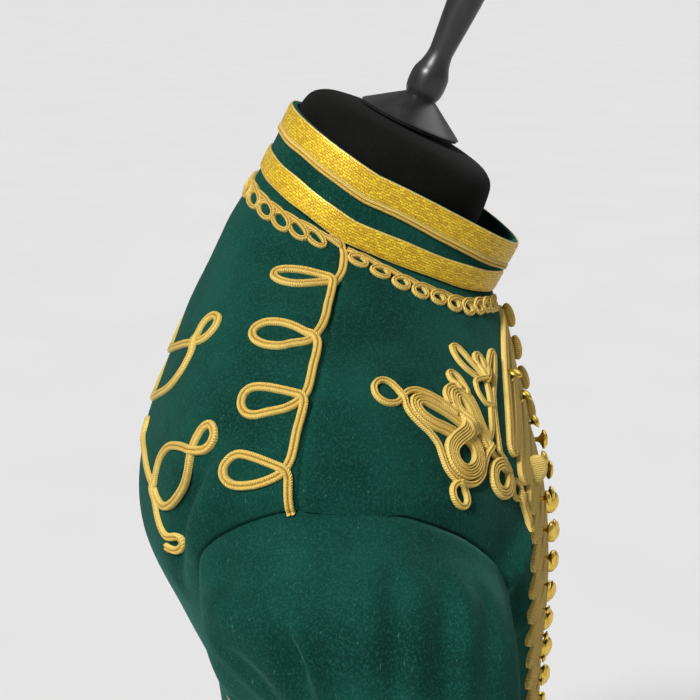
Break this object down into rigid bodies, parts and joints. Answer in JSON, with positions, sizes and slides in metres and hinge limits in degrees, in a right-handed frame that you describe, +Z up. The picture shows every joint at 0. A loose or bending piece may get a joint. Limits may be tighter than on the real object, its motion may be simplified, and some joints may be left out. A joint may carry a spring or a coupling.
{
  "type": "hussar jacket on a dress form",
  "caption": "Braided stand-collar wool jacket, closed in front, with looped cord trim and hanging sleeves, on a limbless dress form with a neck cap and turned finial.",
  "frame": {"origin": "centre of the dress form's flat base, on the ground", "axes": "+Z up, -Y towards the wearer's front, -X towards the wearer's right"},
  "size_m": [0.506, 0.241, 0.8956],
  "materials": {
    "green_wool": "matte, softly napped",
    "gold_lace": "metallic thread, basket weave",
    "gold_braid": "satin, plaited cord",
    "black_jersey": "matte, fine knit",
    "black_wood": "satin black lacquer"
  },
  "bodies": {
    "root": {"front_right": "green_wool", "front_left": "green_wool", "back": "green_wool", "top_sleeve_right": "green_wool", "top_sleeve_left": "green_wool", "under_sleeve_right": "green_wool", "under_sleeve_left": "green_wool", "collar": "green_wool", "collar_lace_bottom": "gold_lace", "collar_lace_top": "gold_lace", "collar_braid_line": "gold_braid", "collar_eyes_back": "gold_braid", "collar_eyes_right": "gold_braid", "collar_eyes_left": "gold_braid", "shoulder_braid_right": "gold_braid", "shoulder_braid_left": "gold_braid", "back_figure_upper": "gold_braid", "back_figure_lower_right": "gold_braid", "back_figure_lower_left": "gold_braid", "rear_seam_braid_right": "gold_braid", "rear_seam_braid_left": "gold_braid", "chest_knot_outer_right": "gold_braid", "chest_knot_outer_left": "gold_braid", "chest_knot_inner_right": "gold_braid", "chest_knot_inner_left": "gold_braid", "front_row_01": "gold_braid", "front_row_02": "gold_braid", "front_row_03": "gold_braid", "front_row_04": "gold_braid", "front_row_05": "gold_braid", "front_row_06": "gold_braid", "front_row_07": "gold_braid", "front_row_08": "gold_braid", "front_row_09": "gold_braid", "front_row_10": "gold_braid", "front_row_11": "gold_braid", "front_row_12": "gold_braid", "front_row_13": "gold_braid", "front_row_14": "gold_braid", "front_row_15": "gold_braid", "front_row_16": "gold_braid", "front_row_17": "gold_braid", "front_row_18": "gold_braid", "front_row_19": "gold_braid", "form_torso": "black_jersey", "form_neck_cap": "black_jersey", "form_finial": "black_wood"}
  },
  "joints": []
}
